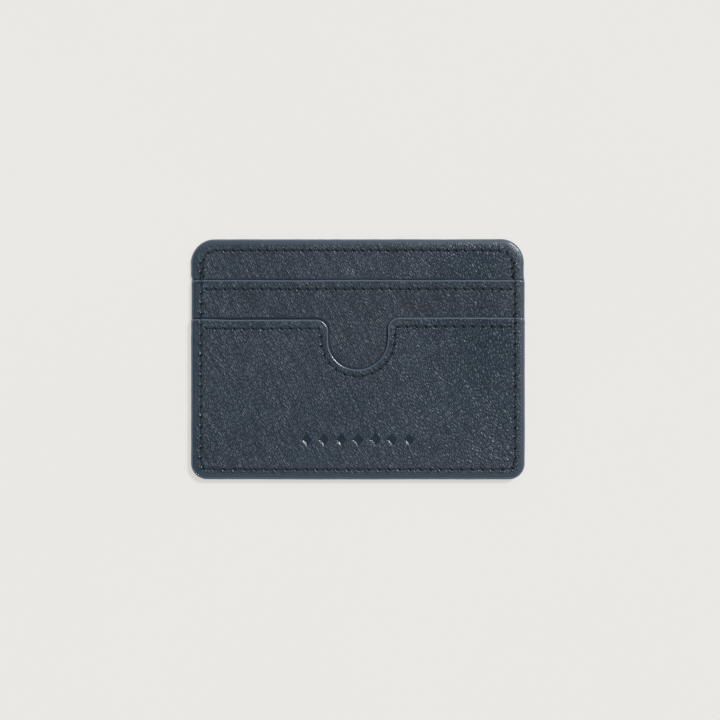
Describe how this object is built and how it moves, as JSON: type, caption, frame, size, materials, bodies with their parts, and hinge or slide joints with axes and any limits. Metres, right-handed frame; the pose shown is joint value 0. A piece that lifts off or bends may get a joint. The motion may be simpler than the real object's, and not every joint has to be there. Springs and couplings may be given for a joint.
{
  "type": "card holder",
  "caption": "Slim navy leather card holder, lying flat: stepped front pockets, one with a rounded thumb notch, and a centre compartment open along the top edge.",
  "frame": {"origin": "middle of the back face, on the surface that the holder lies on", "axes": "+X along the width of a card, +Y towards the open top edge, +Z out of the front face"},
  "size_m": [0.1, 0.072, 0.0041],
  "materials": {
    "leather": "navy pebbled leather, semi-matt",
    "lining": "fine dark woven lining, matt",
    "edge_paint": "smooth flexible edge paint, satin",
    "thread": "bonded dark navy sewing thread",
    "tape": "thin double-sided bonding tape, matt"
  },
  "bodies": {
    "root": {"back_wall": "leather", "back_wall_lining": "lining", "front_wall": "leather", "front_wall_lining": "lining", "front_upper_pocket": "leather", "front_upper_pocket_lining": "lining", "front_lower_pocket": "leather", "front_lower_pocket_lining": "lining", "centre_left_tape": "tape", "centre_right_tape": "tape", "centre_bottom_tape": "tape", "upper_slot_left_tape": "tape", "upper_slot_right_tape": "tape", "upper_slot_bottom_tape": "tape", "upper_slot_floor_tape": "tape", "lower_slot_left_tape": "tape", "lower_slot_right_tape": "tape", "lower_slot_bottom_tape": "tape", "perimeter_edge_coating": "edge_paint", "back_wall_edge_coating": "edge_paint", "front_wall_edge_coating": "edge_paint", "front_upper_pocket_edge_coating": "edge_paint", "front_lower_pocket_edge_coating": "edge_paint", "perimeter_thread": "thread", "back_wall_top_thread": "thread", "front_wall_top_thread": "thread", "front_upper_mouth_thread": "thread", "front_lower_mouth_thread": "thread", "upper_slot_floor_thread": "thread"}
  },
  "joints": []
}
